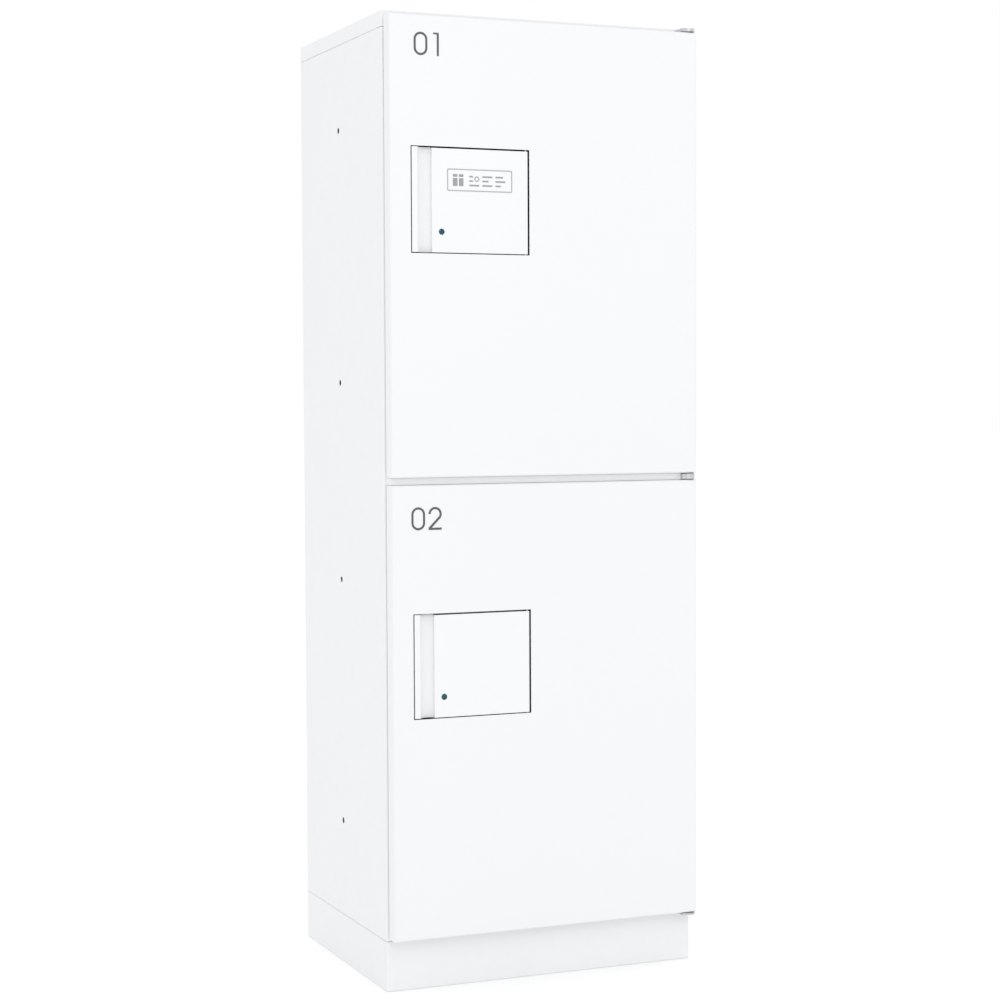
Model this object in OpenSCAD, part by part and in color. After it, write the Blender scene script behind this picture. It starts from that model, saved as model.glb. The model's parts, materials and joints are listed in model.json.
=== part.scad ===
// Two-compartment parcel locker: a folded sheet-steel column with two overlay doors.
// Each door carries a finger flap that covers a mechanical combination lock.
// Millimetres, +Z up, origin at the bottom centre of the bounding box, doors facing -Y.

/* [Cabinet] */
// width of the cabinet body
body_w = 420; // [400:5:440]
// depth of the cabinet body without the doors
body_d = 320; // [300:10:420]
// height of the plinth ring
plinth_h = 62; // [50:1:80]
// height of the top cap skirt
cap_h = 20; // [18:1:24]
// thickness of the cabinet sheet
sheet = 1; // [0.8:0.1:1.2]
// outside radius of the upright front bends
bend_r = 3; // [2:0.5:4]
// width of the upright front flanges beside the mouths
frame_w = 20; // [20:1:22]
// diameter of the linking holes in the side walls
link_hole_d = 8; // [6:0.5:10]
// diameter of the floor anchor holes
anchor_hole_d = 12; // [10:1:14]

/* [Doors] */
// height of each door
door_h = 561.5; // [540:0.5:600]
// depth of the door pan
door_t = 20; // [20:1:22]
// gap between the door pan and the cabinet front
door_gap = 3.5; // [3.5:0.1:4]
// margin of the door inside the cabinet width on the grip side
door_side = 2; // [2:0.5:3]
// gap below the lower door
door_foot = 4; // [4:0.5:6]
// gap between the two doors
door_mid = 9; // [9:0.5:12]
// gap from the upper door to the top of the cap
door_head = 7; // [7:0.5:9]
// outside radius around the front of the door
door_r = 3; // [2.5:0.5:3.5]

/* [Flap and lock] */
// height of the flap opening
flap_h = 130; // [130:1:134]
// width of the flap opening
flap_w = 157; // [157:1:159]
// left edge of the flap opening from the cabinet side
flap_x = 28.6; // [28.6:0.1:30]
// height of the flap centre above the bottom of the door
flap_mid = 338.6; // [300:0.1:340]
// radius of the finger groove
groove_r = 13.5; // [12:0.5:13.5]
// diameter of the round window in the flap
window_d = 7.8; // [6:0.2:8]
// radius of the combination dials
dial_r = 12; // [11:0.5:12]
// height of the door number
digit_h = 28.1; // [20:0.1:30]

/* [Hidden] */
$fn = 48;
total_h = plinth_h + door_foot + 2 * door_h + door_mid + door_head;
front_y = (door_gap + door_t - body_d) / 2;
left_x = -body_w / 2;
seam = 0.6;
cap_z = total_h - cap_h;
wall_z0 = plinth_h + seam;
wall_z1 = cap_z - seam;
face_y = -door_gap - door_t;
back_y = -door_gap;
return_d = 15;
floor_z = plinth_h + 18;
rail_top = door_z(1) + 15;
rail_bottom = door_z(0) + door_h - 15;
roof_z = cap_z - 13;
link_y = 164;
link_z = [185.5, 499.9, 754, 1076.5];
anchor_x = 340;
anchor_y = 240;
pivot_x = body_w - 9;
pivot_y = -15.5;
pin_d = 6;
running = 0.05;
bracket_t = [2.5, 6.5, 4];
bracket_reach = pivot_x - body_w + frame_w;
bead_d = 15.5;
bead_gap = 0.35;
bush_head = 0.8;
bush_gap = 0.35;
bush_r = 5.5;
flange_w = 16;
panel_x0 = door_side;
panel_x1 = body_w - door_side + 1.5;
seal_w = 8;
cut_x1 = flap_x + flap_w;
cut_z0 = flap_mid - flap_h / 2;
cut_z1 = flap_mid + flap_h / 2;
wall_t = 2;
pocket_x0 = flap_x - 0.4;
pocket_x1 = cut_x1 + 0.4;
pocket_z0 = cut_z0 - 0.4;
pocket_z1 = cut_z1 + 0.4;
pocket_y0 = face_y + 1;
pocket_y1 = -2;
plate_y = -4;
plate_t = 1.2;
case_x0 = 27;
case_x1 = 187;
case_y1 = 24;
case_t = 1.5;
flap_x0 = flap_x + 1.5;
flap_x1 = cut_x1 - 1.8;
flap_z0 = cut_z0 + 1.3;
flap_z1 = cut_z1 - 1.1;
flap_t = 3;
flap_pin_x = flap_x1 - 2.5;
flap_pin_y = face_y + flap_t;
flap_pin_d = 2;
slab_x = flap_x0 + 25.9;
groove_x = slab_x - 7.2;
groove_y = face_y - 7;
window_x = flap_x0 + 38.6;
window_z = flap_z0 + 25.2;
turn_z = cut_z0 + 27.8;
gear_m = 1;
gear_teeth = 16;
gear_r = gear_m * gear_teeth / 2;
gear_y0 = 3;
gear_w = 6;
indicator_x = window_x + 9.3;
indicator_r = 14;
turn_x = indicator_x + 23 * PI * gear_m;
rack_z = turn_z - gear_r;
bolt_x0 = case_x0 + case_t + 0.3;
bolt_tall = 20;
dial_x = 128;
dial_pitch = 10;
dial_w = 7;
dial_y = 3;
dial_z = cut_z0 + 92;
axle_d = 4;
key_x = 166;
key_z = cut_z0 + 92;
key_hole_r = 7.05;
stamp_x = 84;
stamp_y = -11.7;
stamp_z0 = cut_z0 + 48;
stamp_h = 60;
stamp_bore_r = 5.2;
stamp_travel = 6;
digit_t = 0.2;
digit_line = 2.7;
catch_z = door_h - 60;

function door_z(i) = plinth_h + door_foot + i * (door_h + door_mid);

// moves from cabinet coordinates (left edge, front plane, floor) to the origin
module cabinet() {
  translate([left_x, front_y, 0])
    children();
}

// the same for a door: height measured from the bottom edge of door i
module on_door(i) {
  translate([left_x, front_y, door_z(i)])
    children();
}

module box(x0, y0, z0, x1, y1, z1) {
  translate([x0, y0, z0])
    cube([x1 - x0, y1 - y0, z1 - z0]);
}

// round bar or bore along X, Y or Z
module bar_x(x0, x1, y, z, r) {
  translate([x0, y, z])
    rotate([0, 90, 0])
      cylinder(h = x1 - x0, r = r);
}

module bar_y(x, y0, y1, z, r) {
  translate([x, y0, z])
    rotate([-90, 0, 0])
      cylinder(h = y1 - y0, r = r);
}

module bar_z(x, y, z0, z1, r) {
  translate([x, y, z0])
    cylinder(h = z1 - z0, r = r);
}

// flat rectangle with four rounded corners
module round_rect(x0, y0, x1, y1, r) {
  translate([x0 + r, y0])
    square([x1 - x0 - 2 * r, y1 - y0]);
  translate([x0, y0 + r])
    square([x1 - x0, y1 - y0 - 2 * r]);
  for (x = [x0 + r, x1 - r])
    for (y = [y0 + r, y1 - r])
      translate([x, y])
        circle(r = r);
}

// hollow rounded tube outline
module round_tube(x0, y0, x1, y1, r, t) {
  difference() {
    round_rect(x0, y0, x1, y1, r);
    round_rect(x0 + t, y0 + t, x1 - t, y1 - t, r - t);
  }
}

// folded channel of the left side wall in plan: outer bend, front flange with return, rear flange
module side_outline() {
  intersection() {
    round_tube(0, 0, 2 * frame_w, body_d, bend_r, sheet);
    union() {
      square([frame_w - 5, body_d]);
      translate([0, body_d / 2])
        square([frame_w, body_d / 2]);
    }
  }
  intersection() {
    round_tube(-frame_w, 0, frame_w, 2 * frame_w, 2, sheet);
    translate([frame_w - 5.1, 0])
      square([5.1, return_d]);
  }
}

// one folded side wall with linking holes; the lock side has a slot for each bolt
module side_wall(bolt_slots) {
  difference() {
    translate([0, 0, wall_z0])
      linear_extrude(height = wall_z1 - wall_z0)
        side_outline();
    for (z = link_z)
      bar_x(-1, 3, link_y, z, link_hole_d / 2);
    if (bolt_slots)
      for (i = [0, 1])
        translate([0, 0, door_z(i) + turn_z])
          strike_hole(frame_w - 3, frame_w + 1);
  }
}

module strike_hole(x0, x1) {
  box(x0, gear_y0 - 1.2, -bolt_tall / 2 - 1.6, x1, gear_y0 + gear_w + 1.2, bolt_tall / 2 + 1.6);
}

module side_panel_left() {
  color([0.95, 0.95, 0.95])
    cabinet()
      side_wall(true);
}

module side_panel_right() {
  color([0.95, 0.95, 0.95])
    mirror([1, 0, 0])
      cabinet()
        side_wall(false);
}

module back_panel() {
  ribs = 4;
  rib_r = 8;
  edge = bend_r + 0.2;
  color([0.93, 0.93, 0.93])
    cabinet() {
      box(edge, body_d - 2 * sheet, wall_z0, body_w - edge, body_d - sheet, wall_z1);
      for (n = [1:ribs])
        for (z = [[floor_z + 40, rail_bottom - 40], [rail_top + 40, roof_z - 40]])
          intersection() {
            bar_z(n * body_w / (ribs + 1), body_d + rib_r / 2, z[0], z[1], rib_r);
            box(0, 0, 0, body_w, body_d - sheet, total_h);
          }
    }
}

module top_cap() {
  lip = 15;
  edge_r = 2;
  color([0.95, 0.95, 0.95])
    cabinet()
      difference() {
        intersection() {
          translate([0, 0, cap_z])
            linear_extrude(height = cap_h)
              round_rect(0, 0, body_w, body_d, bend_r);
          translate([0, body_d, 0])
            rotate([90, 0, 0])
              linear_extrude(height = body_d)
                round_rect(0, cap_z - cap_h, body_w, total_h, edge_r);
          translate([0, 0, 0])
            rotate([90, 0, 90])
              linear_extrude(height = body_w)
                round_rect(0, cap_z - cap_h, body_d, total_h, edge_r);
        }
        translate([0, 0, cap_z + sheet])
          linear_extrude(height = cap_h - 2 * sheet)
            round_rect(sheet, sheet, body_w - sheet, body_d - sheet, bend_r - sheet);
        box(lip, lip, cap_z - 1, body_w - lip, body_d - lip, cap_z + 2 * sheet);
      }
}

// flat pan between the side walls, notched around the front returns, with side and rear edges folded to z_edge
module tray(z_face, z_edge, front_y0) {
  low = z_edge > z_face ? z_face : z_face - sheet;
  side_y = return_d + 0.4;
  end_y = body_d - bend_r - 0.2;
  z0 = min(z_face, z_edge);
  z1 = max(z_face, z_edge);
  box(sheet, side_y, low, body_w - sheet, end_y, low + sheet);
  box(frame_w, front_y0, low, body_w - frame_w, side_y + 1, low + sheet);
  for (x = [sheet, body_w - 2 * sheet])
    box(x, side_y, z0, x + sheet, end_y, z1);
  box(sheet, end_y - sheet, z0, body_w - sheet, end_y, z1);
}

module front_fold(z0, z1) {
  box(frame_w, 0, z0, body_w - frame_w, sheet, z1);
}

module ceiling_panel() {
  color([0.93, 0.93, 0.93])
    cabinet() {
      tray(roof_z, cap_z, 0);
      front_fold(roof_z, cap_z);
    }
}

module mid_shelf() {
  fold = 10;
  color([0.93, 0.93, 0.93])
    cabinet()
      tray(rail_top - sheet, rail_top - sheet - fold, sheet);
}

// folded channel across the front between the two mouths, with a hollow bead that fills the door gap
module front_rail() {
  mid_z = door_z(1) - door_mid / 2;
  half = door_mid / 2 - bead_gap;
  x0 = panel_x0 + 1;
  x1 = body_w - frame_w;
  color([0.95, 0.95, 0.95])
    cabinet() {
      front_fold(rail_bottom, rail_top);
      for (z = [rail_bottom, rail_top - sheet])
        box(frame_w, 0, z, body_w - frame_w, return_d, z + sheet);
      difference() {
        union() {
          box(x0, -bead_d, mid_z - half, x1, 0, mid_z + half);
          box(frame_w, -sheet, mid_z - half, x1, sheet / 2, mid_z + half);
        }
        box(x0 + sheet, -bead_d + sheet, mid_z - half + sheet, x1 - sheet, 0, mid_z + half - sheet);
      }
    }
}

module floor_panel() {
  color([0.93, 0.93, 0.93])
    cabinet() {
      tray(floor_z, plinth_h, 0);
      front_fold(plinth_h, floor_z);
    }
}

module plinth() {
  ledge = 25;
  gauge = 1.2;
  color([0.95, 0.95, 0.95])
    cabinet()
      difference() {
        linear_extrude(height = plinth_h)
          round_rect(0, 0, body_w, body_d, bend_r);
        translate([0, 0, gauge])
          linear_extrude(height = plinth_h - 2 * gauge)
            round_rect(gauge, gauge, body_w - gauge, body_d - gauge, bend_r - gauge);
        box(ledge, ledge, plinth_h - 2 * gauge, body_w - ledge, body_d - ledge, plinth_h + 1);
        box(2 * ledge, 2 * ledge, -1, body_w - 2 * ledge, body_d - 2 * ledge, 2 * gauge);
        for (x = [-1, 1])
          for (y = [-1, 1])
            bar_z((body_w + x * anchor_x) / 2, (body_d + y * anchor_y) / 2, -1, 3, anchor_hole_d / 2);
      }
}

// pivot plates welded to the cabinet front: below, between and above the doors
function bracket_z(i) = i == 0 ? plinth_h + 0.3 : door_z(i - 1) + door_h + bush_head + bush_gap;

module hinge_brackets() {
  reach = bracket_reach;
  color([0.8, 0.8, 0.82])
    cabinet()
      for (i = [0:2])
        difference() {
          translate([0, 0, bracket_z(i)])
            linear_extrude(height = bracket_t[i]) {
              translate([pivot_x, pivot_y])
                circle(r = 8);
              translate([pivot_x - reach, pivot_y - 5])
                square([reach, 5 - pivot_y]);
              translate([pivot_x - 1, pivot_y])
                square([9, -pivot_y]);
            }
          bar_z(pivot_x, pivot_y, 0, total_h, pin_d / 2);
        }
}

module hinge_pins() {
  grip = 19;
  mid_z = bracket_z(1) + bracket_t[1] / 2;
  color([0.75, 0.75, 0.78])
    cabinet() {
      bar_z(pivot_x, pivot_y, bracket_z(0), door_z(0) + grip, pin_d / 2);
      bar_z(pivot_x, pivot_y, mid_z - grip, mid_z + grip, pin_d / 2);
      bar_z(pivot_x, pivot_y, door_z(1) + door_h - grip, bracket_z(2) + bracket_t[2], pin_d / 2);
    }
}

module strike_plates() {
  half = 30;
  color([0.75, 0.76, 0.78])
    cabinet()
      for (i = [0, 1])
        translate([0, 0, door_z(i) + turn_z])
          difference() {
            box(frame_w - sheet - 2, 2.4, -half, frame_w - sheet, return_d - 1, half);
            strike_hole(frame_w - 4, frame_w);
          }
}

module magnet_catches() {
  color([0.2, 0.2, 0.21])
    cabinet()
      for (i = [0, 1])
        translate([0, 0, door_z(i) + catch_z])
          difference() {
            box(frame_w, 1.2, -18, frame_w + 8, 13, 18);
            box(frame_w + 2.5, 0, -14, frame_w + 5.5, 2.4, 14);
          }
}

// dome-headed screw along Y or X on the inner sheets, and bolts joining plinth and floor
module cabinet_screws() {
  color([0.7, 0.71, 0.73])
    cabinet() {
      for (z = [140, 400, 560, 700, 900, 1130])
        for (x = [frame_w / 2, body_w - frame_w / 2])
          bar_y(x, body_d, body_d + 1.6, z, 4);
      for (x = [60, body_w - 60])
        for (y = [12, body_d - 12])
          difference() {
            bar_z(x, y, plinth_h - 1.2 - 4, plinth_h - 1.2, 5);
            translate([x, y, plinth_h - 5.3])
              cylinder(h = 2.2, r = 2.6, $fn = 6);
          }
    }
}

// solid with every front edge rounded, shared by the door pan and its hollow
module door_block(grow, r) {
  x0 = panel_x0 + grow;
  x1 = panel_x1 - grow;
  y0 = face_y + grow;
  y1 = back_y - grow;
  z0 = grow;
  z1 = door_h - grow;
  intersection() {
    translate([0, 0, z0])
      linear_extrude(height = z1 - z0)
        intersection() {
          round_rect(x0, y0, x1, y1 + 10, r);
          translate([x0, y0])
            square([x1 - x0, y1 - y0]);
        }
    translate([x0, 0, 0])
      rotate([90, 0, 90])
        linear_extrude(height = x1 - x0)
          intersection() {
            round_rect(y0, z0, y1 + 10, z1, r);
            translate([y0, z0])
              square([y1 - y0, z1 - z0]);
          }
  }
}

module door_skin(i) {
  inset = flange_w + sheet;
  color([0.96, 0.96, 0.96])
    on_door(i)
      difference() {
        door_block(0, door_r);
        door_block(sheet, door_r - sheet);
        box(panel_x0 + inset, back_y - 3, inset, panel_x1 - inset, back_y + 1, door_h - inset);
        box(flap_x, face_y - 1, cut_z0, cut_x1, face_y + 4, cut_z1);
        bar_z(pivot_x, pivot_y, -1, door_h + 1, bush_r + 0.03);
      }
}

module door_liner(i) {
  y0 = back_y - 2 * sheet;
  margin = panel_x0 + sheet + 0.3;
  hat = 14;
  color([0.93, 0.93, 0.93])
    on_door(i)
      difference() {
        union() {
          box(margin, y0, sheet + 0.3, body_w - margin, y0 + sheet, door_h - sheet - 0.3);
          for (x = [245, 330])
            difference() {
              box(x, y0 - hat, 30, x + 30, y0 + 0.5, door_h - 30);
              box(x + sheet, y0 - hat + sheet, 29, x + 30 - sheet, y0 + 1, door_h - 29);
            }
        }
        box(pocket_x0 - 2.5, y0 - 1, pocket_z0 - 2.5, pocket_x1 + 2.5, 0, pocket_z1 + 2.5);
      }
}

module door_seal(i) {
  z0 = 6;
  x0 = 10;
  x1 = body_w - 11;
  z1 = door_h - 6;
  color([0.25, 0.25, 0.26])
    on_door(i)
      difference() {
        box(x0, back_y, z0, x1, -0.3, z1);
        box(x0 + seal_w, back_y - 1, z0 + seal_w, x1 - seal_w, 1, z1 - seal_w);
        box(x0 + 2.5, -1.2, z0 + 2.5, x1 - 2.5, 0, z0 + 5.5);
        box(x0 + 2.5, -1.2, z1 - 5.5, x1 - 2.5, 0, z1 - 2.5);
        for (x = [x0 + 2.5, x1 - 5.5])
          box(x, -1.2, z0 + 2.5, x + 3, 0, z1 - 2.5);
      }
}

// pivot bushes: one up through the bottom edge with a standing collar, one at the top edge
module hinge_bushes(i) {
  foot = door_z(i) - bracket_z(i) - bracket_t[i] - bush_gap;
  long = 20;
  color([0.55, 0.55, 0.56])
    on_door(i)
      difference() {
        union() {
          bar_z(pivot_x, pivot_y, -foot, long, bush_r);
          bar_z(pivot_x, pivot_y, -foot, 0, bush_r + 1.5);
          bar_z(pivot_x, pivot_y, door_h - long, door_h + bush_head, bush_r);
          bar_z(pivot_x, pivot_y, door_h, door_h + bush_head, bush_r + 1.5);
        }
        bar_z(pivot_x, pivot_y, -foot - 1, door_h + 2, pin_d / 2 + running);
      }
}

module spindle_bores(y0, y1, r) {
  for (x = [indicator_x, turn_x])
    bar_y(x, y0, y1, turn_z, r);
}

module dial_slots(y0, y1) {
  for (k = [-1:1])
    box(dial_x + k * dial_pitch - 4.1, y0, dial_z - 12, dial_x + k * dial_pitch + 4.1, y1, dial_z + 12);
}

module lock_pocket(i) {
  rim = 4;
  color([0.16, 0.17, 0.18])
    on_door(i)
      difference() {
        union() {
          box(pocket_x0 - rim, pocket_y0, pocket_z0 - rim, pocket_x1 + rim, pocket_y0 + 2, pocket_z1 + rim);
          box(pocket_x0 - wall_t, pocket_y0, pocket_z0 - wall_t, pocket_x1 + wall_t, pocket_y1, pocket_z1 + wall_t);
        }
        box(pocket_x0, pocket_y0 - 1, pocket_z0, pocket_x1, plate_y, pocket_z1);
        spindle_bores(-10, 0, 3 + running);
        dial_slots(-10, 0);
        bar_y(key_x, -10, 0, key_z, key_hole_r);
        bar_z(flap_pin_x, flap_pin_y, pocket_z0 - 3, pocket_z1 + 3, flap_pin_d / 2);
      }
}

module lock_plate(i) {
  color([0.74, 0.75, 0.77])
    on_door(i)
      difference() {
        translate([0, plate_y, 0])
          rotate([90, 0, 0])
            linear_extrude(height = plate_t)
              round_rect(58, cut_z0 + 2, 184, cut_z1 - 2, 3);
        spindle_bores(-10, 0, 3.2);
        dial_slots(-10, 0);
        bar_y(key_x, -10, 0, key_z, key_hole_r);
        for (x = [62, 180])
          for (z = [cut_z0 + 6, cut_z1 - 6])
            translate([x, plate_y - plate_t - 0.1, z])
              rotate([-90, 0, 0])
                cylinder(h = 0.7, r1 = 2.6, r2 = 1.8);
      }
}

module lock_case(i) {
  z0 = pocket_z0 + 1;
  z1 = pocket_z1 - 1;
  color([0.6, 0.61, 0.63])
    on_door(i) {
      difference() {
        box(case_x0, pocket_y1, z0, case_x1, case_y1, z1);
        box(case_x0 + case_t, pocket_y1 - 1, z0 + case_t, case_x1 - case_t, case_y1 - case_t, z1 - case_t);
        translate([0, 0, turn_z])
          box(case_x0 - 1, gear_y0 - 0.3, -bolt_tall / 2 - 0.3, case_x0 + 3, gear_y0 + gear_w + 0.3, bolt_tall / 2 + 0.3);
      }
      for (x = [70, 135])
        box(x, gear_y0 - 0.6, rack_z - 12.6, x + 14, case_y1 - case_t, rack_z - 9.3);
      for (x = [70, 135])
        box(x, gear_y0 + gear_w + 0.3, rack_z - 9.3, x + 14, case_y1 - case_t, rack_z - 3);
      for (x = [-1, 1])
        difference() {
          box(dial_x + x * 18 - 1.5, -1, dial_z - 7, dial_x + x * 18 + 1.5, case_y1 - case_t, dial_z + 7);
          bar_x(dial_x - 25, dial_x + 25, dial_y, dial_z, axle_d / 2);
        }
    }
}

module dial_axle(i) {
  color([0.75, 0.76, 0.78])
    on_door(i)
      bar_x(dial_x - 20.5, dial_x + 20.5, dial_y, dial_z, axle_d / 2);
}

// combination dial with ten finger notches, turning about X
module dial(i, k) {
  color([0.2, 0.2, 0.22])
    on_door(i)
      translate([dial_x + (k - 1) * dial_pitch, dial_y, dial_z])
        rotate([0, 90, 0])
          difference() {
            translate([0, 0, -dial_w / 2])
              cylinder(h = dial_w, r = dial_r);
            translate([0, 0, -dial_w])
              cylinder(h = 2 * dial_w, r = axle_d / 2 + running);
            for (n = [0:9])
              rotate([0, 0, n * 36 + 18])
                translate([dial_r + 0.4, 0, -dial_w])
                  cylinder(h = 2 * dial_w, r = 1.2);
          }
}

// involute gear outline, thinned for running clearance, with a tooth gap at -Y
module gear_outline() {
  base_r = gear_r * cos(20);
  tip_r = gear_r + 0.8 * gear_m;
  root_r = gear_r - 1.25 * gear_m;
  steps = 6;
  slack = 1.1;
  turn_max = sqrt(pow(tip_r / base_r, 2) - 1) * 180 / PI;
  pitch_roll = tan(20) * 180 / PI;
  half = 90 / gear_teeth + (pitch_roll - 20) - slack;
  function flank(a, s) = [
    base_r * (cos(s * (half - a + atan(a * PI / 180)))) * sqrt(1 + pow(a * PI / 180, 2)),
    base_r * (sin(s * (half - a + atan(a * PI / 180)))) * sqrt(1 + pow(a * PI / 180, 2))
  ];
  root = [
    for (s = [-1, 1])
      [root_r * cos(s * half), root_r * sin(s * half)]
  ];
  tooth = concat(
    [root[0]],
    [for (n = [0:steps]) flank(n * turn_max / steps, -1)],
    [for (n = [0:steps]) flank((steps - n) * turn_max / steps, 1)],
    [root[1]],
    [[0, 0]]
  );
  circle(r = root_r);
  for (n = [0:gear_teeth - 1])
    rotate(270 + (n + 0.5) * 360 / gear_teeth)
      polygon(tooth);
}

module pinion(x) {
  translate([x, gear_y0 + gear_w, turn_z])
    rotate([90, 0, 0])
      linear_extrude(height = gear_w)
        gear_outline();
}

// quarter-turn knob with spindle and pinion
module thumb_turn(i) {
  color([0.72, 0.73, 0.75])
    on_door(i) {
      difference() {
        union() {
          bar_y(turn_x, -8.6, -5.5, turn_z, 14);
          box(turn_x - 3.5, -17, turn_z - 12, turn_x + 3.5, -8, turn_z + 12);
        }
        bar_y(turn_x, -18, -16.2, turn_z + 8, 1.4);
      }
      bar_y(turn_x, -6, gear_y0 + gear_w + 2, turn_z, 3);
      pinion(turn_x);
    }
}

// sliding bolt with the rack that both pinions run on
module lock_bolt(i) {
  tooth = PI * gear_m;
  slack = 0.12;
  slope = tan(20);
  count = 34;
  first = turn_x - 29 * tooth;
  color([0.7, 0.71, 0.73])
    on_door(i) {
      box(bolt_x0, gear_y0, turn_z - bolt_tall / 2, bolt_x0 + 31, gear_y0 + gear_w, turn_z + bolt_tall / 2);
      box(bolt_x0 + 30, gear_y0, rack_z - 9, first + count * tooth, gear_y0 + gear_w, rack_z - 1.2);
      translate([0, gear_y0 + gear_w, rack_z])
        rotate([90, 0, 0])
          linear_extrude(height = gear_w)
            for (n = [0:count - 1])
              translate([first + n * tooth, 0])
                polygon([
                  [-tooth / 4 - 1.3 * slope + slack, -1.3],
                  [tooth / 4 + 1.3 * slope - slack, -1.3],
                  [tooth / 4 - 0.8 * slope - slack, 0.8],
                  [-tooth / 4 + 0.8 * slope + slack, 0.8]
                ]);
    }
}

// vacancy disc seen through the flap window, with its own pinion on the bolt rack
module indicator(i) {
  disc_y = flap_pin_y + 1;
  color([0.1, 0.4, 0.55])
    on_door(i) {
      bar_y(indicator_x, disc_y, disc_y + 1, turn_z, indicator_r);
      bar_y(indicator_x, disc_y + 0.5, gear_y0 + gear_w + 2, turn_z, 3);
      pinion(indicator_x);
    }
}

module key_cylinder(i) {
  y0 = plate_y - plate_t;
  color([0.78, 0.78, 0.8])
    on_door(i)
      difference() {
        union() {
          bar_y(key_x, y0 - 1.6, y0, key_z, 9);
          bar_y(key_x, y0 - 0.1, 14, key_z, 7);
        }
        bar_y(key_x, y0 - 3, 16, key_z, 5 + running);
      }
}

module key_plug(i) {
  y0 = plate_y - plate_t - 1.6;
  color([0.7, 0.6, 0.35])
    on_door(i)
      difference() {
        union() {
          bar_y(key_x, y0 - 0.3, 16.5, key_z, 5);
          box(key_x - 2.5, 16.5, key_z - 2.5, key_x + 2.5, 18, key_z + 14);
        }
        box(key_x - 0.7, y0 - 1, key_z - 3.4, key_x + 0.7, 8, key_z + 3.4);
      }
}

module flap_pin(i) {
  color([0.78, 0.78, 0.8])
    on_door(i)
      bar_z(flap_pin_x, flap_pin_y, pocket_z0 - wall_t, pocket_z1 + wall_t, flap_pin_d / 2);
}

module catch_plate(i) {
  color([0.78, 0.78, 0.8])
    on_door(i)
      box(19.5, back_y - sheet, catch_z - 16, 27, back_y - 0.2, catch_z + 16);
}

// plan outline of the flap: lip, round finger groove running under the plate, plate and knuckle
module flap_outline() {
  shell = 1.5;
  difference() {
    union() {
      translate([flap_x0, face_y])
        square([6, flap_t - 1]);
      translate([flap_x0 + 2, face_y])
        square([flap_pin_x - flap_x0 - 4, flap_t]);
      intersection() {
        translate([groove_x, groove_y])
          circle(r = groove_r + shell);
        translate([flap_x0, face_y])
          square([60, 30]);
      }
      translate([flap_x1 - 12, face_y])
        square([10, flap_t]);
      translate([flap_x1 - 2, face_y + 2])
        circle(r = 2);
      translate([flap_pin_x, flap_pin_y])
        circle(r = 2.5);
      translate([flap_pin_x - 0.5, face_y + 2])
        square([3, 1]);
    }
    difference() {
      translate([groove_x, groove_y])
        circle(r = groove_r);
      translate([slab_x, face_y])
        square([30, flap_t - 0.6]);
    }
    translate([flap_pin_x, flap_pin_y])
      circle(r = flap_pin_d / 2 + running);
  }
}

module flap(i) {
  rib_x = [100, 135, 165];
  color([0.97, 0.97, 0.97])
    on_door(i)
      difference() {
        union() {
          translate([0, 0, flap_z0])
            linear_extrude(height = flap_z1 - flap_z0)
              flap_outline();
          for (z = [cut_z0 + 3, cut_z1 - 4.2])
            box(slab_x + 10, face_y + 2, z, flap_pin_x - 6, face_y + 4.2, z + 1.2);
        }
        box(slab_x, face_y - 1, flap_z1 - 1, cut_x1 + 1, face_y + 8, flap_z1 + 1);
        bar_y(window_x, face_y - 1, 0, window_z, window_d / 2);
      }
}

module flap_lens(i) {
  color([0.85, 0.93, 0.97, 0.5])
    on_door(i)
      bar_y(window_x, face_y + 0.4, face_y + flap_t, window_z, window_d / 2);
}

module slip_label() {
  x0 = flap_x0 + 45.9;
  z0 = cut_z0 + 76.4;
  w = 86.3;
  h = 27.2;
  line = 1.3;
  color([0.7, 0.7, 0.7])
    on_door(1)
      translate([0, face_y, 0])
        rotate([90, 0, 0])
          linear_extrude(height = digit_t)
            difference() {
              round_rect(x0, z0, x0 + w, z0 + h, 2);
              round_rect(x0 + line, z0 + line, x0 + w - line, z0 + h - line, 0.9);
            }
}

// open oval stroke of the zero, drawn from arcs and straight sides
module digit_zero(w) {
  round_tube(0, 0, w, digit_h, w / 2 - 0.01, digit_line);
}

module digit_one(w) {
  translate([w - digit_line, 0])
    square([digit_line, digit_h]);
  translate([0, digit_h - 2.1])
    square([w - 0.5, 2.1]);
}

module digit_two(w) {
  r = w / 2;
  difference() {
    translate([r, digit_h - r])
      circle(r = r);
    translate([r, digit_h - r])
      circle(r = r - digit_line);
    translate([-1, 0])
      square([r + 1, digit_h - r]);
    translate([0, -0.5])
      square([w - 4.4, digit_h - r - 4.6]);
    polygon([[-1, 0], [w - 3.2, 0], [w - 3.2, digit_h - r - 5.3], [r, digit_h - r - 9], [-1, digit_h - r - 9]]);
  }
  polygon([
    [0, digit_line],
    [0, digit_line - 0.6],
    [3.6, digit_line - 0.6],
    [w - 0.95, digit_h - r - 4.2],
    [w - 3, digit_h - r - 2.4]
  ]);
  square([w, digit_line]);
}

module number_plate(i) {
  top = i == 1 ? 540.5 : 534.6;
  x0 = i == 1 ? 33.4 : 26.8;
  color([0.4, 0.4, 0.41])
    on_door(i)
      translate([x0, face_y, top - digit_h])
        rotate([90, 0, 0])
          linear_extrude(height = digit_t) {
            digit_zero(17.8);
            if (i == 1)
              translate([25.4, 0])
                digit_one(7.3);
            else
              translate([22.4, 0])
                digit_two(17.2);
          }
}

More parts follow.
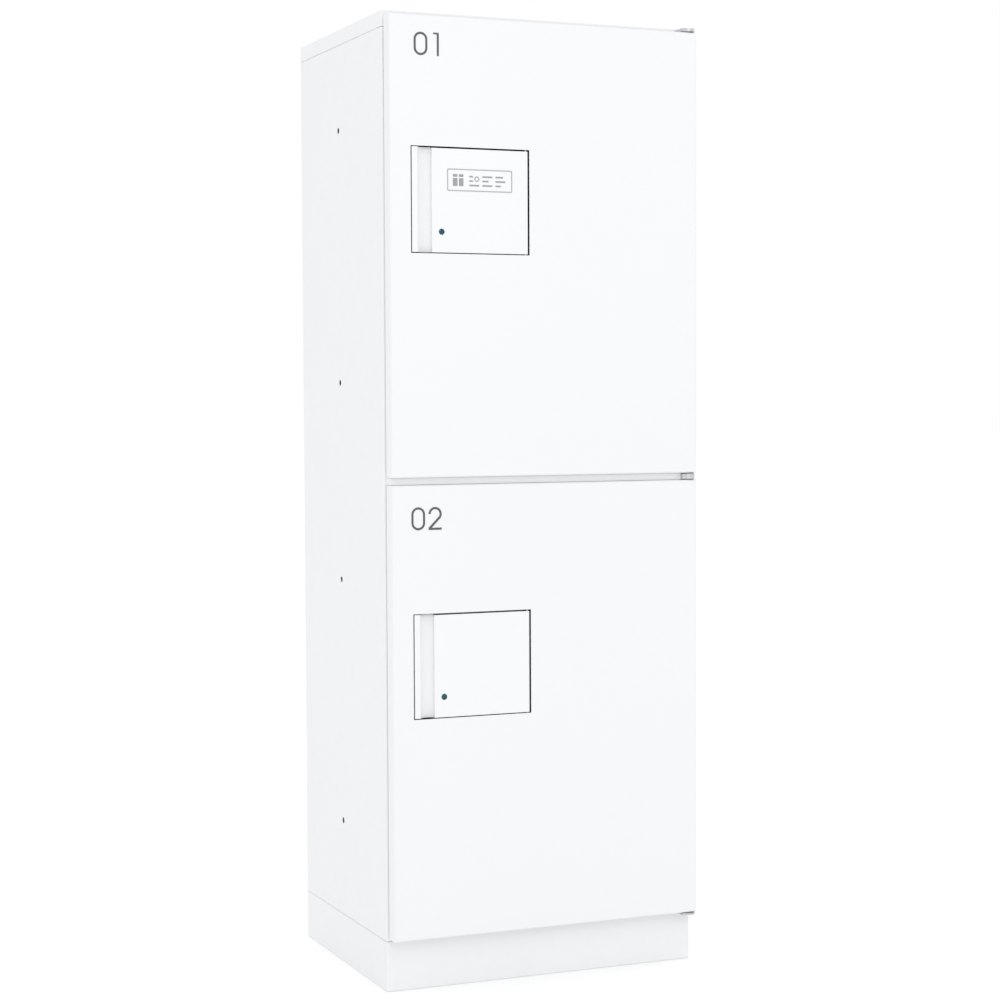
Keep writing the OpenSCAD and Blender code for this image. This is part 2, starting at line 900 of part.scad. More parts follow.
// housing of the slip stamp behind the upper flap: slip slot below, button bore above
module stamp_housing() {
  x0 = stamp_x - 18;
  x1 = stamp_x + 18;
  y0 = -18.2;
  y1 = plate_y - plate_t;
  z1 = stamp_z0 + stamp_h;
  color([0.3, 0.31, 0.33])
    on_door(1)
      difference() {
        box(x0, y0, stamp_z0, x1, y1, z1);
        box(x0 - 1, y0 - 1, stamp_z0 + 10, x1 - 6, y1 - 1.5, stamp_z0 + 15);
        bar_z(stamp_x, stamp_y, stamp_z0 + 10, stamp_z0 + 48, stamp_bore_r);
        bar_z(stamp_x, stamp_y, stamp_z0 + 40, z1 + 1, 2.4 + running);
        bar_z(stamp_x, stamp_y, stamp_z0 + 50, z1 + 1, stamp_bore_r);
      }
}

module stamp_button() {
  top = stamp_z0 + 72;
  color([0.75, 0.2, 0.18])
    on_door(1) {
      bar_z(stamp_x, stamp_y, stamp_z0 + 17, stamp_z0 + 24, stamp_bore_r - 0.08);
      bar_z(stamp_x, stamp_y, stamp_z0 + 23, top, 2.4);
      box(stamp_x - 11, stamp_y - 5, top - 4, stamp_x + 11, stamp_y + 5, top + 5);
    }
}

module stamp_spring() {
  turns = 5;
  low = stamp_z0 + 50.5;
  high = stamp_z0 + 67.4;
  color([0.75, 0.76, 0.78])
    on_door(1)
      translate([stamp_x, stamp_y, 0])
        for (n = [0:turns])
          translate([0, 0, low + n * (high - low) / turns])
            rotate_extrude()
              translate([3.7, 0])
                circle(r = 0.45, $fn = 16);
}

side_panel_left();
side_panel_right();
back_panel();
top_cap();
ceiling_panel();
mid_shelf();
front_rail();
floor_panel();
plinth();
hinge_brackets();
hinge_pins();
strike_plates();
magnet_catches();
cabinet_screws();
door_skin(1);  // door_skin_upper
door_liner(1);  // door_liner_upper
door_seal(1);  // door_seal_upper
hinge_bushes(1);  // hinge_bushes_upper
lock_pocket(1);  // lock_pocket_upper
lock_plate(1);  // lock_plate_upper
lock_case(1);  // lock_case_upper
dial_axle(1);  // dial_axle_upper
key_cylinder(1);  // key_cylinder_upper
flap_pin(1);  // flap_pin_upper
catch_plate(1);  // catch_plate_upper
number_plate(1);  // number_upper
stamp_housing();
flap(1);  // flap_upper
flap_lens(1);  // flap_lens_upper
slip_label();
dial(1, 0);  // dial_upper_a
dial(1, 1);  // dial_upper_b
dial(1, 2);  // dial_upper_c
thumb_turn(1);  // thumb_turn_upper
lock_bolt(1);  // lock_bolt_upper
indicator(1);  // indicator_upper
key_plug(1);  // key_plug_upper
stamp_button();
stamp_spring();
door_skin(0);  // door_skin_lower
door_liner(0);  // door_liner_lower
door_seal(0);  // door_seal_lower
hinge_bushes(0);  // hinge_bushes_lower
lock_pocket(0);  // lock_pocket_lower
lock_plate(0);  // lock_plate_lower
lock_case(0);  // lock_case_lower
dial_axle(0);  // dial_axle_lower
key_cylinder(0);  // key_cylinder_lower
flap_pin(0);  // flap_pin_lower
catch_plate(0);  // catch_plate_lower
number_plate(0);  // number_lower
flap(0);  // flap_lower
flap_lens(0);  // flap_lens_lower
dial(0, 0);  // dial_lower_a
dial(0, 1);  // dial_lower_b
dial(0, 2);  // dial_lower_c
thumb_turn(0);  // thumb_turn_lower
lock_bolt(0);  // lock_bolt_lower
indicator(0);  // indicator_lower
key_plug(0);  // key_plug_lower
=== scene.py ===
import json
import math

import bmesh
import bpy
from mathutils import Matrix, Vector

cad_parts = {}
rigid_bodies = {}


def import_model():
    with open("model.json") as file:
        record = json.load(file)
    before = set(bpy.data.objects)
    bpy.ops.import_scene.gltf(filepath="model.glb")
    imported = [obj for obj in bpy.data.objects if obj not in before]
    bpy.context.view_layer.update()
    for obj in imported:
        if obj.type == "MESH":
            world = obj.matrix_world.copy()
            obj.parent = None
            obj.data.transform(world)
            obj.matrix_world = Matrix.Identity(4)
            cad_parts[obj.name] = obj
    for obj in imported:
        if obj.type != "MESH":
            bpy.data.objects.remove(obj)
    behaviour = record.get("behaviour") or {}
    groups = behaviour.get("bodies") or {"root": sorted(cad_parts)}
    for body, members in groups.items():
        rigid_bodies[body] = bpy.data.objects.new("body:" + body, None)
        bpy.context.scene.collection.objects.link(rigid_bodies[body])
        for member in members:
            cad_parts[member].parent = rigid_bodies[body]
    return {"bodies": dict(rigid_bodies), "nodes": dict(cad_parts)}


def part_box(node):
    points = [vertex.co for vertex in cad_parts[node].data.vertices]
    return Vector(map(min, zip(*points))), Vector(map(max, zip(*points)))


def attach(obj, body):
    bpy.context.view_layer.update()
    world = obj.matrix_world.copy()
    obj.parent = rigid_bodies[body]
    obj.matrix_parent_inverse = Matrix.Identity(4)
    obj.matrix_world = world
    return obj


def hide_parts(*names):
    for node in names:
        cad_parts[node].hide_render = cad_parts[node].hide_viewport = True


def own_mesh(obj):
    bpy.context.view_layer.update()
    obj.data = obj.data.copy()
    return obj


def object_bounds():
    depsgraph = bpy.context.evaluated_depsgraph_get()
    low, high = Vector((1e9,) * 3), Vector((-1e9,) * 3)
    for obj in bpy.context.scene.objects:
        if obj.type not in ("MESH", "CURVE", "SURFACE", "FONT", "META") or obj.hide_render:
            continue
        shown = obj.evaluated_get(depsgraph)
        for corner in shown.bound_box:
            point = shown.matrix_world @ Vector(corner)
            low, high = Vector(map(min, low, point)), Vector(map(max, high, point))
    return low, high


# Looks of the two-compartment parcel locker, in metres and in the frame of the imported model:
# the doors face -Y, +Z is up, and the lower left corner of the doors has the lowest X.

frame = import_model()
cad_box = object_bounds()
nodes = frame["nodes"]
for carrier in frame["bodies"].values():
    carrier.rotation_mode = "QUATERNION"  # a quarter turn on an open door stays exact

MM = 0.001
SIDES = ("upper", "lower")
DIALS = "abc"


# ---------------------------------------------------------------- material helpers
def new_material(name):
    """Returns the material, its node tree and its shader."""
    material = bpy.data.materials.new(name)
    material.use_nodes = True
    tree = material.node_tree
    return material, tree, tree.nodes["Principled BSDF"]


def object_place(tree, **settings):
    """The object's own coordinates, moved or stretched where settings say so."""
    place = tree.nodes.new("ShaderNodeTexCoord").outputs["Object"]
    if not settings:
        return place
    mapping = tree.nodes.new("ShaderNodeMapping")
    for name, value in settings.items():
        mapping.inputs[name].default_value = value
    tree.links.new(place, mapping.inputs["Vector"])
    return mapping.outputs["Vector"]


def noise(tree, scale, detail=3.0, rough=0.5, stretch=None):
    texture = tree.nodes.new("ShaderNodeTexNoise")
    texture.inputs["Scale"].default_value = scale
    texture.inputs["Detail"].default_value = detail
    texture.inputs["Roughness"].default_value = rough
    place = object_place(tree, Scale=stretch) if stretch else object_place(tree)
    tree.links.new(place, texture.inputs["Vector"])
    return texture.outputs["Fac"]


def spread(tree, factor, low, high, start=0.3, end=0.7):
    """Carries a factor between start and end to a number between low and high."""
    node = tree.nodes.new("ShaderNodeMapRange")
    node.inputs["From Min"].default_value = start
    node.inputs["From Max"].default_value = end
    node.inputs["To Min"].default_value = low
    node.inputs["To Max"].default_value = high
    tree.links.new(factor, node.inputs["Value"])
    return node.outputs["Result"]


def tint(tree, factor, low, high):
    """Colour between low and high, over the middle of the factor's range."""
    ramp = tree.nodes.new("ShaderNodeValToRGB")
    for element, position, colour in zip(ramp.color_ramp.elements, (0.3, 0.7), (low, high)):
        element.position = position
        element.color = (*colour, 1)
    tree.links.new(factor, ramp.inputs["Fac"])
    return ramp.outputs["Color"]


def mixed(tree, factor, first, second):
    """Mix of two colours, each a socket or three numbers."""
    mix = tree.nodes.new("ShaderNodeMix")
    mix.data_type = "RGBA"
    tree.links.new(factor, mix.inputs["Factor"])
    for name, colour in (("A", first), ("B", second)):
        if isinstance(colour, tuple):
            mix.inputs[name].default_value = (*colour, 1)
        else:
            tree.links.new(colour, mix.inputs[name])
    return mix.outputs["Result"]


def maths(tree, operation, first, second):
    node = tree.nodes.new("ShaderNodeMath")
    node.operation = operation
    tree.links.new(first, node.inputs[0])
    tree.links.new(second, node.inputs[1])
    return node.outputs[0]


def bump(tree, shader, layers):
    """Chains (height, strength, distance) layers into the shader's normal."""
    last = None
    for height, strength, distance in layers:
        node = tree.nodes.new("ShaderNodeBump")
        node.inputs["Strength"].default_value = strength
        node.inputs["Distance"].default_value = distance
        tree.links.new(height, node.inputs["Height"])
        if last:
            tree.links.new(last, node.inputs["Normal"])
        last = node.outputs["Normal"]
    tree.links.new(last, shader.inputs["Normal"])


def edge_wear(tree, colour, worn, amount):
    """Patchy second colour along convex edges."""
    pointiness = tree.nodes.new("ShaderNodeNewGeometry").outputs["Pointiness"]
    on_edges = spread(tree, pointiness, 0, amount, 0.53, 0.62)
    in_patches = spread(tree, noise(tree, 60, 4), 0, 1, 0.45, 0.7)
    return mixed(tree, maths(tree, "MULTIPLY", on_edges, in_patches), colour, worn)


# ---------------------------------------------------------------- kinds of material
def powder_coat(name, low, high, gloss=0.38, peel=0.10):
    """Baked enamel: faint clouding, orange peel and slightly duller edges."""
    material, tree, shader = new_material(name)
    body = tint(tree, noise(tree, 2.2, 4, 0.6), low, high)
    worn = tuple(channel * 0.94 for channel in low)
    tree.links.new(edge_wear(tree, body, worn, 0.2), shader.inputs["Base Color"])
    roughness = spread(tree, noise(tree, 14, 3, 0.5), gloss - 0.02, gloss + 0.02)
    tree.links.new(roughness, shader.inputs["Roughness"])
    shader.inputs["Specular IOR Level"].default_value = 0.45
    bump(tree, shader, [(noise(tree, 420, 2), peel, 0.0004), (noise(tree, 1600, 1), peel * 0.6, 0.0001)])
    return material


def moulded(name, low, high, gloss=0.3, grain=0.06, scale=900, specular=0.5):
    """Moulded plastic, rubber or ink with a fine grain."""
    material, tree, shader = new_material(name)
    tree.links.new(tint(tree, noise(tree, 9, 4), low, high), shader.inputs["Base Color"])
    roughness = spread(tree, noise(tree, 45, 2), gloss - 0.015, gloss + 0.02)
    tree.links.new(roughness, shader.inputs["Roughness"])
    shader.inputs["Specular IOR Level"].default_value = specular
    bump(tree, shader, [(noise(tree, scale, 2), grain, 0.0002)])
    return material


def brushed(name, low, high, gloss=0.3, along=(1, 40, 40), scratch=0.12):
    """Metal with scratches along the axis whose stretch is the smallest."""
    material, tree, shader = new_material(name)
    lines = noise(tree, 60, 5, 0.65, along)
    tree.links.new(tint(tree, lines, low, high), shader.inputs["Base Color"])
    tree.links.new(spread(tree, lines, gloss - 0.07, gloss + 0.12), shader.inputs["Roughness"])
    shader.inputs["Metallic"].default_value = 1.0
    bump(tree, shader, [(lines, scratch, 0.00008), (noise(tree, 25, 4), 0.04, 0.0005)])
    return material


def zinc(name, low, high, gloss=0.36):
    """Zinc plating with faint crystals."""
    material, tree, shader = new_material(name)
    crystals = tree.nodes.new("ShaderNodeTexVoronoi")
    crystals.inputs["Scale"].default_value = 170
    tree.links.new(object_place(tree), crystals.inputs["Vector"])
    channels = tree.nodes.new("ShaderNodeSeparateColor")
    tree.links.new(crystals.outputs["Color"], channels.inputs["Color"])
    tree.links.new(tint(tree, channels.outputs[0], low, high), shader.inputs["Base Color"])
    roughness = spread(tree, channels.outputs[1], gloss - 0.06, gloss + 0.1, 0, 1)
    tree.links.new(roughness, shader.inputs["Roughness"])
    shader.inputs["Metallic"].default_value = 1.0
    bump(tree, shader, [(noise(tree, 300, 3), 0.08, 0.0002)])
    return material


def clear_lens(name):
    """Clear moulded window, very slightly blue."""
    material, tree, shader = new_material(name)
    colour = tint(tree, noise(tree, 30, 2), (0.80, 0.93, 0.98), (0.88, 0.96, 1.0))
    tree.links.new(colour, shader.inputs["Base Color"])
    tree.links.new(spread(tree, noise(tree, 200, 3), 0.03, 0.08), shader.inputs["Roughness"])
    shader.inputs["Transmission Weight"].default_value = 1.0
    shader.inputs["IOR"].default_value = 1.25
    bump(tree, shader, [(noise(tree, 300, 2), 0.03, 0.0001)])
    return material


def indicator_face(side):
    """Disc face printed half blue (vacant) and half red, split along a diagonal through its spindle."""
    material, tree, shader = new_material("indicator_" + side)
    low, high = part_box("indicator_" + side)
    middle = (low + high) / 2
    place = tree.nodes.new("ShaderNodeSeparateXYZ")
    tree.links.new(object_place(tree, Location=[-middle.x, 0, -middle.z]), place.inputs["Vector"])
    above_diagonal = maths(tree, "GREATER_THAN", place.outputs["Z"], place.outputs["X"])
    grain = noise(tree, 120, 4)
    blue = tint(tree, grain, (0.006, 0.125, 0.215), (0.010, 0.155, 0.255))
    red = tint(tree, grain, (0.40, 0.012, 0.010), (0.48, 0.020, 0.016))
    tree.links.new(mixed(tree, above_diagonal, red, blue), shader.inputs["Base Color"])
    tree.links.new(spread(tree, grain, 0.35, 0.5), shader.inputs["Roughness"])
    bump(tree, shader, [(noise(tree, 900, 2), 0.05, 0.0001)])
    return material


# ---------------------------------------------------------------- materials
ALONG_Z = (40, 40, 3)
ACROSS_Y = (30, 2, 30)

enamel = powder_coat("enamel", (0.814, 0.822, 0.835), (0.824, 0.831, 0.844))
enamel_inner = powder_coat("enamel_inner", (0.758, 0.765, 0.778), (0.772, 0.779, 0.792), 0.45, 0.14)
flap_white = moulded("flap_white", (0.822, 0.83, 0.843), (0.832, 0.839, 0.852), 0.34, 0.05, 700)
zinc_plate = zinc("zinc_plate", (0.56, 0.57, 0.59), (0.61, 0.62, 0.64))
key_zinc = zinc("key_satin", (0.56, 0.56, 0.58), (0.64, 0.64, 0.66), 0.22)
steel_brushed = brushed("steel_brushed", (0.56, 0.57, 0.59), (0.70, 0.71, 0.73))
steel_turned = brushed("steel_turned", (0.55, 0.56, 0.58), (0.68, 0.69, 0.71), 0.25, ALONG_Z)
knob_metal = brushed("knob_satin", (0.24, 0.245, 0.255), (0.32, 0.325, 0.335), 0.3, ACROSS_Y)
plug_brass = brushed("plug_brass", (0.55, 0.40, 0.16), (0.66, 0.50, 0.22), 0.28, ACROSS_Y)
spring_steel = brushed("spring_steel", (0.5, 0.51, 0.53), (0.68, 0.69, 0.71), 0.2, (20, 20, 20), 0.05)
seal_pale = moulded("seal_rubber", (0.62, 0.63, 0.64), (0.70, 0.71, 0.72), 0.7, 0.3, 500, 0.25)
bush_grey = moulded("bush_grey", (0.20, 0.20, 0.21), (0.26, 0.26, 0.27), 0.5, 0.1)
# black of the magnet cases, also used for the painted shade in the screw recesses
magnet_and_recess_shade_black = moulded("magnet_case_and_recess_shade", (0.02, 0.02, 0.022), (0.035, 0.035, 0.038), 0.45, 0.15)
# near-black moulded pocket tray; its black also paints the shade in the gaps round the flaps
pocket_black_and_gap_shade = moulded("pocket_plastic", (0.012, 0.013, 0.014), (0.022, 0.023, 0.025), 0.55, 0.25, 650, 0.3)
dial_black = moulded("dial_plastic", (0.02, 0.02, 0.022), (0.03, 0.03, 0.033), 0.38, 0.08)
stamp_red = moulded("stamp_red", (0.38, 0.020, 0.016), (0.45, 0.030, 0.024), 0.28, 0.05)
stamp_grey = moulded("stamp_grey", (0.045, 0.047, 0.052), (0.06, 0.062, 0.068), 0.45, 0.15)
ink_dark = moulded("ink_dark", (0.085, 0.088, 0.092), (0.105, 0.108, 0.112), 0.45, 0.08)
ink_light = moulded("ink_light", (0.37, 0.375, 0.38), (0.42, 0.425, 0.43), 0.45, 0.08)
ink_print = moulded("ink_print", (0.29, 0.295, 0.30), (0.33, 0.335, 0.34), 0.45, 0.08)
ink_white = moulded("ink_white", (0.72, 0.72, 0.72), (0.80, 0.80, 0.80), 0.5, 0.08)
lens_clear = clear_lens("lens_clear")

LOOK = {
    "side_panel_left": enamel,
    "side_panel_right": enamel,
    "back_panel": enamel,
    "top_cap": enamel,
    "plinth": enamel,
    "front_rail": enamel,
    "ceiling_panel": enamel_inner,
    "mid_shelf": enamel_inner,
    "floor_panel": enamel_inner,
    "hinge_brackets": zinc_plate,
    "hinge_pins": steel_turned,
    "strike_plates": zinc_plate,
    "magnet_catches": magnet_and_recess_shade_black,
    "cabinet_screws": zinc_plate,
    "stamp_housing": stamp_grey,
    "stamp_button": stamp_red,
    "stamp_spring": spring_steel,
    "slip_label": ink_light,
}
DOOR_LOOK = {
    "door_skin": enamel,
    "door_liner": enamel_inner,
    "door_seal": seal_pale,
    "hinge_bushes": bush_grey,
    "lock_pocket": pocket_black_and_gap_shade,
    "lock_plate": steel_brushed,
    "lock_case": zinc_plate,
    "lock_bolt": steel_brushed,
    "dial_axle": steel_brushed,
    "key_cylinder": key_zinc,
    "key_plug": plug_brass,
    "thumb_turn": knob_metal,
    "flap": flap_white,
    "flap_pin": steel_turned,
    "flap_lens": lens_clear,
    "catch_plate": zinc_plate,
    "number": ink_dark,
}
for side in SIDES:
    LOOK.update({f"{name}_{side}": material for name, material in DOOR_LOOK.items()})
    LOOK.update({f"dial_{side}_{dial}": dial_black for dial in DIALS})
    LOOK["indicator_" + side] = indicator_face(side)
for name, node in nodes.items():
    node.data.materials.clear()
    node.data.materials.append(LOOK[name])


# ---------------------------------------------------------------- mesh helpers
def piece(name, bm, material, body, smooth=False):
    """Makes the mesh an object of its own that rides on a body."""
    mesh = bpy.data.meshes.new(name)
    bmesh.ops.recalc_face_normals(bm, faces=bm.faces)
    for face in bm.faces:
        face.smooth = smooth
    bm.to_mesh(mesh)
    bm.free()
    made = bpy.data.objects.new(name, mesh)
    bpy.context.scene.collection.objects.link(made)
    mesh.materials.append(material)
    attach(made, body)
    return made


def facing(x, y, z):
    """Place of a print in millimetres: u to the right and v up from (x, y, z), w towards -Y."""
    return lambda u, v, w: (x + u * MM, y - w * MM, z + v * MM)


def bridge(bm, first, second):
    """Faces between two closed rings of vertices."""
    count = len(first)
    for k in range(count):
        bm.faces.new((first[k], first[(k + 1) % count], second[(k + 1) % count], second[k]))


def add_prism(bm, outline, place, depth):
    """Closed outline of (u, v) points, thickened from w=0 to w=depth."""
    back = [bm.verts.new(place(u, v, 0)) for u, v in outline]
    front = [bm.verts.new(place(u, v, depth)) for u, v in outline]
    bm.faces.new(back)
    bm.faces.new(list(reversed(front)))
    bridge(bm, back, front)


def add_ring(bm, u, v, outer, inner, place, depth, steps=32):
    """Flat ring round (u, v)."""
    section = ((outer, 0), (outer, depth), (inner, depth), (inner, 0))
    rows = []
    for k in range(steps):
        angle = 2 * math.pi * k / steps
        across, up = math.cos(angle), math.sin(angle)
        rows.append([bm.verts.new(place(u + r * across, v + r * up, w)) for r, w in section])
    for k in range(steps):
        bridge(bm, rows[k], rows[(k + 1) % steps])


def add_dome(bm, x, y, z, radius, tall, steps=24, rows=5):
    """Low rounded screw head on a face at y that faces +Y."""
    rings = []
    for j in range(rows):
        rise = j / (rows - 1) * DOME_TOP
        r = radius * math.sqrt(1 - rise * rise)
        angles = [2 * math.pi * k / steps for k in range(steps)]
        corners = [(x + r * math.cos(a), y + tall * rise, z + r * math.sin(a)) for a in angles]
        rings.append([bm.verts.new(corner) for corner in corners])
    for lower, upper in zip(rings, rings[1:]):
        bridge(bm, lower, upper)
    bm.faces.new(rings[-1])
    bm.faces.new(list(reversed(rings[0])))


def bar(left, bottom, right, top, radius, steps=5):
    """Outline of a rectangle with rounded corners."""
    corners = (
        (right - radius, bottom + radius, -90),
        (right - radius, top - radius, 0),
        (left + radius, top - radius, 90),
        (left + radius, bottom + radius, 180),
    )
    points = []
    for u, v, start in corners:
        for k in range(steps + 1):
            angle = math.radians(start + 90 * k / steps)
            points.append((u + radius * math.cos(angle), v + radius * math.sin(angle)))
    return points


def cross(arm, half, degrees):
    """Outline of a turned plus sign."""
    quarter = [(half, -arm), (half, -half), (arm, -half)]
    points = []
    for k in range(4):
        angle = math.radians(degrees + 90 * k)
        c, s = math.cos(angle), math.sin(angle)
        points += [(u * c - v * s, u * s + v * c) for u, v in quarter]
    return points


def islands(name):
    """Lowest and highest corners of each separate shell of a node, in order of place."""
    part = bmesh.new()
    part.from_mesh(nodes[name].data)
    bmesh.ops.remove_doubles(part, verts=part.verts, dist=1e-6)
    left = set(part.verts)
    found = []
    while left:
        todo = [left.pop()]
        group = []
        while todo:
            vertex = todo.pop()
            group.append(vertex.co.copy())
            for edge in vertex.link_edges:
                other = edge.other_vert(vertex)
                if other in left:
                    left.remove(other)
                    todo.append(other)
        low = Vector(min(point[i] for point in group) for i in range(3))
        high = Vector(max(point[i] for point in group) for i in range(3))
        found.append((low, high))
    part.free()
    return sorted(found, key=lambda box: tuple(round(v, 5) for v in box[0]))


# ---------------------------------------------------------------- print on the label
# a taped parcel, broken lines and a ring, in millimetres from the label's lower left corner; no words
INK = 0.05
PARCEL_HALVES = ((7.5, 13.6), (15.4, 21.5))
PARCEL_ROWS = ((6.2, 16.0), (17.4, 20.8))
LINE_GROUPS = ((5.2, 5.2, 13.4), (13.4, 8.4, 13.4), (10.4, 13.4, 7.4))
LINE_LEFT, LINE_PITCH = 29.0, 17.4
LINE_TOP, LINE_DROP, LINE_TALL = 17.2, 5.4, 2.1
RING_U, RING_V, RING_OUTER, RING_INNER = 39.2, 15.4, 3.4, 2.0

low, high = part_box("slip_label")
on_label = facing(low.x, high.y, low.z)
bm = bmesh.new()
for bottom, top in PARCEL_ROWS:
    for left, right in PARCEL_HALVES:
        add_prism(bm, bar(left, bottom, right, top, 0.5), on_label, INK)
for group, widths in enumerate(LINE_GROUPS):
    left = LINE_LEFT + group * LINE_PITCH
    for row, width in enumerate(widths):
        bottom = LINE_TOP - row * LINE_DROP
        add_prism(bm, bar(left, bottom, left + width, bottom + LINE_TALL, 0.6), on_label, INK)
add_ring(bm, RING_U, RING_V, RING_OUTER, RING_INNER, on_label, INK)
piece("label_print", bm, ink_print, "flap_upper")


# ---------------------------------------------------------------- numerals round the dials
NUMERAL_SIZE = 5.8 * MM
NUMERAL_SLICES = 8
NUMERAL_LIFT = 0.04 * MM


def numeral(text):
    """Flat mesh of one numeral, cut into slices so that it can bend, with its middle at the origin."""
    curve = bpy.data.curves.new("numeral", "FONT")
    curve.body = text
    curve.size = NUMERAL_SIZE
    curve.align_x = "CENTER"
    curve.align_y = "CENTER"
    curve.resolution_u = 4
    drawn = bpy.data.objects.new("numeral", curve)
    bpy.context.scene.collection.objects.link(drawn)
    bpy.context.view_layer.update()
    mesh = bpy.data.meshes.new_from_object(drawn.evaluated_get(bpy.context.evaluated_depsgraph_get()))
    bpy.data.objects.remove(drawn)
    bpy.data.curves.remove(curve)
    part = bmesh.new()
    part.from_mesh(mesh)
    low = Vector(min(vertex.co[i] for vertex in part.verts) for i in range(3))
    high = Vector(max(vertex.co[i] for vertex in part.verts) for i in range(3))
    for step in range(1, NUMERAL_SLICES):
        cut = low.y + (high.y - low.y) * step / NUMERAL_SLICES
        everything = part.verts[:] + part.edges[:] + part.faces[:]
        bmesh.ops.bisect_plane(part, geom=everything, plane_co=(0, cut, 0), plane_no=(0, 1, 0))
    bmesh.ops.translate(part, verts=part.verts, vec=-(low + high) / 2)
    part.to_mesh(mesh)
    part.free()
    return mesh


NUMERALS = [numeral(str(n)) for n in range(10)]
for side in SIDES:
    for dial in DIALS:
        low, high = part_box(f"dial_{side}_{dial}")
        middle = (low + high) / 2
        rim = (high.z - low.z) / 2
        bm = bmesh.new()
        for n, mesh in enumerate(NUMERALS):
            known = len(bm.verts)
            bm.from_mesh(mesh)
            bm.verts.ensure_lookup_table()
            for vertex in bm.verts[known:]:
                angle = math.radians(36 * n) + vertex.co.y / rim
                out = (rim + NUMERAL_LIFT) * Vector((0, -math.cos(angle), math.sin(angle)))
                vertex.co = (middle.x + vertex.co.x, middle.y + out.y, middle.z + out.z)
        piece(f"dial_digits_{side}_{dial}", bm, ink_white, f"dial_{side}_{dial}")


# ---------------------------------------------------------------- coil spring round the stamp's stem
WIRE_R = 0.45 * MM
COIL_TURNS = 6.5
STEPS_PER_TURN = 28
WIRE_SIDES = 8
FLAT_TURN = 0.9  # the share of a turn that lies almost flat at each end
UP = Vector((0, 0, 1))

low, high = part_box("stamp_spring")
middle = (low + high) / 2
coil_r = (high.x - low.x) / 2 - WIRE_R
tall = high.z - low.z
steps = int(COIL_TURNS * STEPS_PER_TURN)
bm = bmesh.new()
rings = []
for k in range(steps + 1):
    turned = COIL_TURNS * k / steps
    flat = min(turned, FLAT_TURN) / FLAT_TURN
    rise = min(max((turned - FLAT_TURN) / (COIL_TURNS - 2 * FLAT_TURN), 0), 1)
    z = min(low.z + WIRE_R + WIRE_R * flat + (tall - 4 * WIRE_R) * rise, high.z - WIRE_R)
    out = Vector((math.cos(2 * math.pi * turned), math.sin(2 * math.pi * turned), 0))
    base = Vector((middle.x, middle.y, z)) + out * coil_r
    ring = []
    for j in range(WIRE_SIDES):
        angle = 2 * math.pi * j / WIRE_SIDES
        ring.append(bm.verts.new(base + (out * math.cos(angle) + UP * math.sin(angle)) * WIRE_R))
    rings.append(ring)
for first, second in zip(rings, rings[1:]):
    bridge(bm, first, second)
bm.faces.new(rings[0])
bm.faces.new(list(reversed(rings[-1])))
coil = piece("stamp_coil", bm, spring_steel, "door_upper", True)
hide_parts("stamp_spring")
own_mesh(coil)


# ---------------------------------------------------------------- screws
PROUD = 0.01 * MM
SUNK = 0.1 * MM
LOWEST_SIDE_SCREW = 3 * MM
CASE_HEAD_R = 3.4 * MM
CASE_HEAD_TALL = 1.2 * MM
DOME_TOP = 0.86  # the share of a screw head's dome that is left by its flat top
# the lock case's four corners and its middle, as shares of its width and height
CASE_SCREWS = ((0.07, 0.08), (0.93, 0.08), (0.07, 0.92), (0.93, 0.92), (0.5, 0.5))

# painted shade of the cross recesses: flat black crosses in the heads on the back panel, which are thinner
# in Y than the screws of the sides
bm = bmesh.new()
for n, (low, high) in enumerate(islands("cabinet_screws")):
    if high.y - low.y <= LOWEST_SIDE_SCREW:
        middle = (low + high) / 2
        add_prism(bm, cross(2.1, 0.45, 37 * n), facing(middle.x, high.y + PROUD, middle.z), 0.6)
piece("screw_recess_shade", bm, magnet_and_recess_shade_black, "cabinet")

# cover screws on the inner face of each lock case, each with a flat black cross in its head as painted
# shade of its recess
for side in SIDES:
    low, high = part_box("lock_case_" + side)
    face = high.y - SUNK
    flat_top = face + CASE_HEAD_TALL * DOME_TOP + PROUD
    heads = bmesh.new()
    recess_shade = bmesh.new()
    for n, (across, up) in enumerate(CASE_SCREWS):
        x = low.x + (high.x - low.x) * across
        z = low.z + (high.z - low.z) * up
        add_dome(heads, x, face, z, CASE_HEAD_R, CASE_HEAD_TALL)
        add_prism(recess_shade, cross(1.7, 0.4, 20 + 50 * n), facing(x, flat_top, z), 0.5)
    piece("case_screws_" + side, heads, steel_turned, "door_" + side, True)
    piece("case_screw_slot_shade_" + side, recess_shade, magnet_and_recess_shade_black, "door_" + side)


# ---------------------------------------------------------------- softened edges
# width of the rounding in millimetres
EDGES = {
    "stamp_housing": 0.8,
    "stamp_button": 0.8,
    "hinge_brackets": 0.3,
    "magnet_catches": 0.5,
    "strike_plates": 0.25,
    "front_rail": 0.25,
    "plinth": 0.25,
    "top_cap": 0.3,
}
DOOR_EDGES = {"lock_case": 0.4, "thumb_turn": 0.4, "lock_bolt": 0.3, "flap": 0.3}

for side in SIDES:
    EDGES.update({f"{name}_{side}": width for name, width in DOOR_EDGES.items()})
for name, width in EDGES.items():
    rounding = nodes[name].modifiers.new("soft_edge", "BEVEL")
    rounding.width = width * MM
    rounding.segments = 3
    rounding.limit_method = "ANGLE"
    rounding.angle_limit = math.radians(38)
    rounding.harden_normals = False
    rounding.use_clamp_overlap = True


# ---------------------------------------------------------------- studio
def link_new(name, data):
    made = bpy.data.objects.new(name, data)
    bpy.context.scene.collection.objects.link(made)
    return made


def area_light(name, where, target, size, power):
    light = bpy.data.lights.new(name, "AREA")
    light.shape = "RECTANGLE"
    light.size, light.size_y = size
    light.energy = power
    lamp = link_new(name, light)
    lamp.location = where
    lamp.rotation_euler = (Vector(target) - Vector(where)).to_track_quat("-Z", "Y").to_euler()


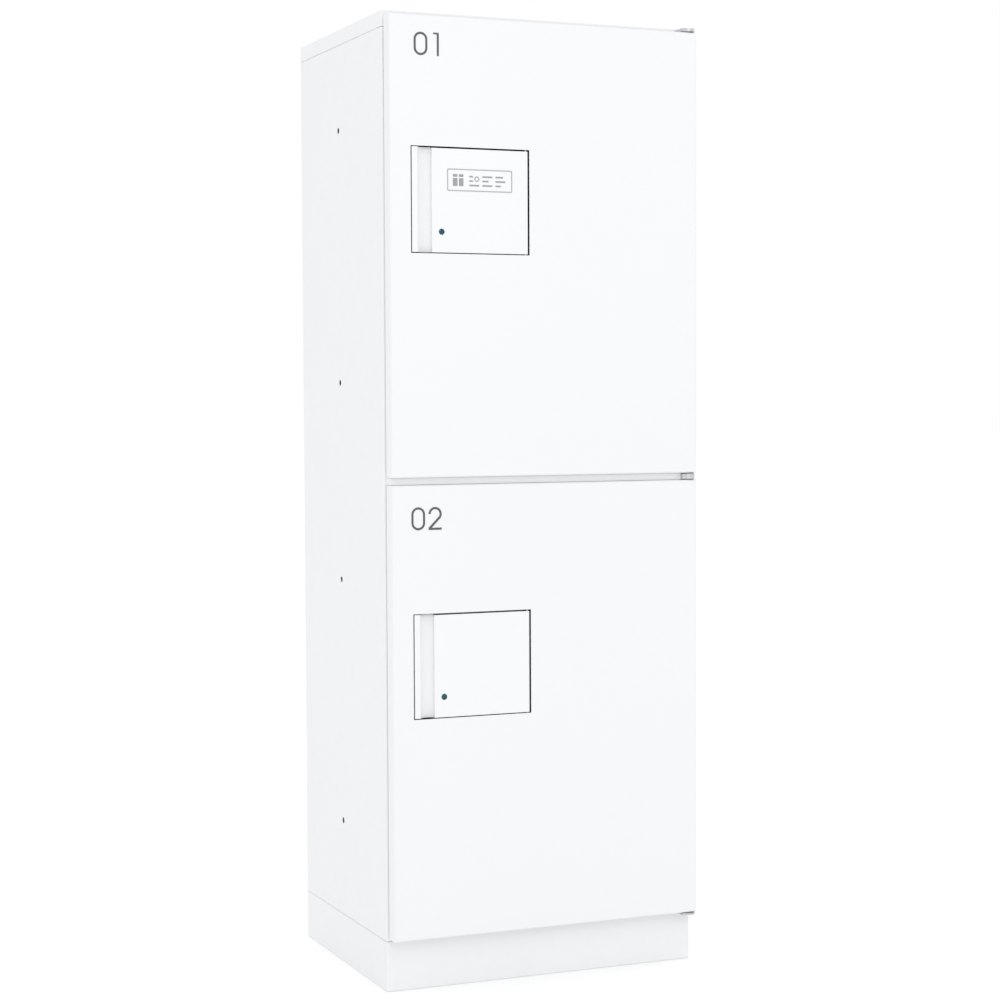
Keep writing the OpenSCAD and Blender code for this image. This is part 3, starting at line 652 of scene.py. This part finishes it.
floor_pale, tree, shader = new_material("studio_floor")
floor_colour = tint(tree, noise(tree, 3, 3), (0.90, 0.90, 0.90), (0.92, 0.92, 0.92))
tree.links.new(floor_colour, shader.inputs["Base Color"])
shader.inputs["Roughness"].default_value = 0.9
shader.inputs["Specular IOR Level"].default_value = 0.05
shader.inputs["Emission Color"].default_value = (1, 1, 1, 1)
shader.inputs["Emission Strength"].default_value = 0.13

bm = bmesh.new()
bmesh.ops.create_grid(bm, x_segments=8, y_segments=8, size=30)
bmesh.ops.translate(bm, verts=bm.verts, vec=(0, 0, cad_box[0][2] - 0.5 * MM))
floor_mesh = bpy.data.meshes.new("studio_floor")
bm.to_mesh(floor_mesh)
bm.free()
floor_mesh.materials.append(floor_pale)
link_new("studio_floor", floor_mesh)

# a high key grades the doors from the top, a weak low strip from the front left reaches under the doors
area_light("key_high", (-0.9, -3.6, 2.9), (0, -0.1, 0.9), (2.4, 2.4), 22)
area_light("strip_low", (-2.6, -3.9, 0.75), (0, -0.1, 0.62), (2.6, 0.9), 1.2)
world = bpy.data.worlds.new("studio")
bpy.context.scene.world = world
world.use_nodes = True
background = world.node_tree.nodes["Background"]
background.inputs["Color"].default_value = (1, 1, 1, 1)
background.inputs["Strength"].default_value = 1.0


# ---------------------------------------------------------------- camera
CAMERA_AT = Vector((-1.1369, -2.71845, 0.7353))
YAW, PITCH, ROLL = math.radians(22.81), math.radians(2.654), math.radians(-0.249)
LENS, SENSOR = 80.287, 36

camera = bpy.data.cameras.new("camera")
camera.lens = LENS
camera.sensor_width = SENSOR
forward = Vector((math.sin(YAW) * math.cos(PITCH), math.cos(YAW) * math.cos(PITCH), -math.sin(PITCH)))
level_right = Vector((math.cos(YAW), -math.sin(YAW), 0))
level_up = level_right.cross(forward)
right = level_right * math.cos(ROLL) + level_up * math.sin(ROLL)
up = level_up * math.cos(ROLL) - level_right * math.sin(ROLL)
turn = Matrix((right, up, -forward)).transposed().to_4x4()
camera_object = link_new("camera", camera)
camera_object.matrix_world = Matrix.Translation(CAMERA_AT) @ turn
bpy.context.scene.camera = camera_object

view = bpy.context.scene.view_settings
view.view_transform = "Standard"
view.look = "None"
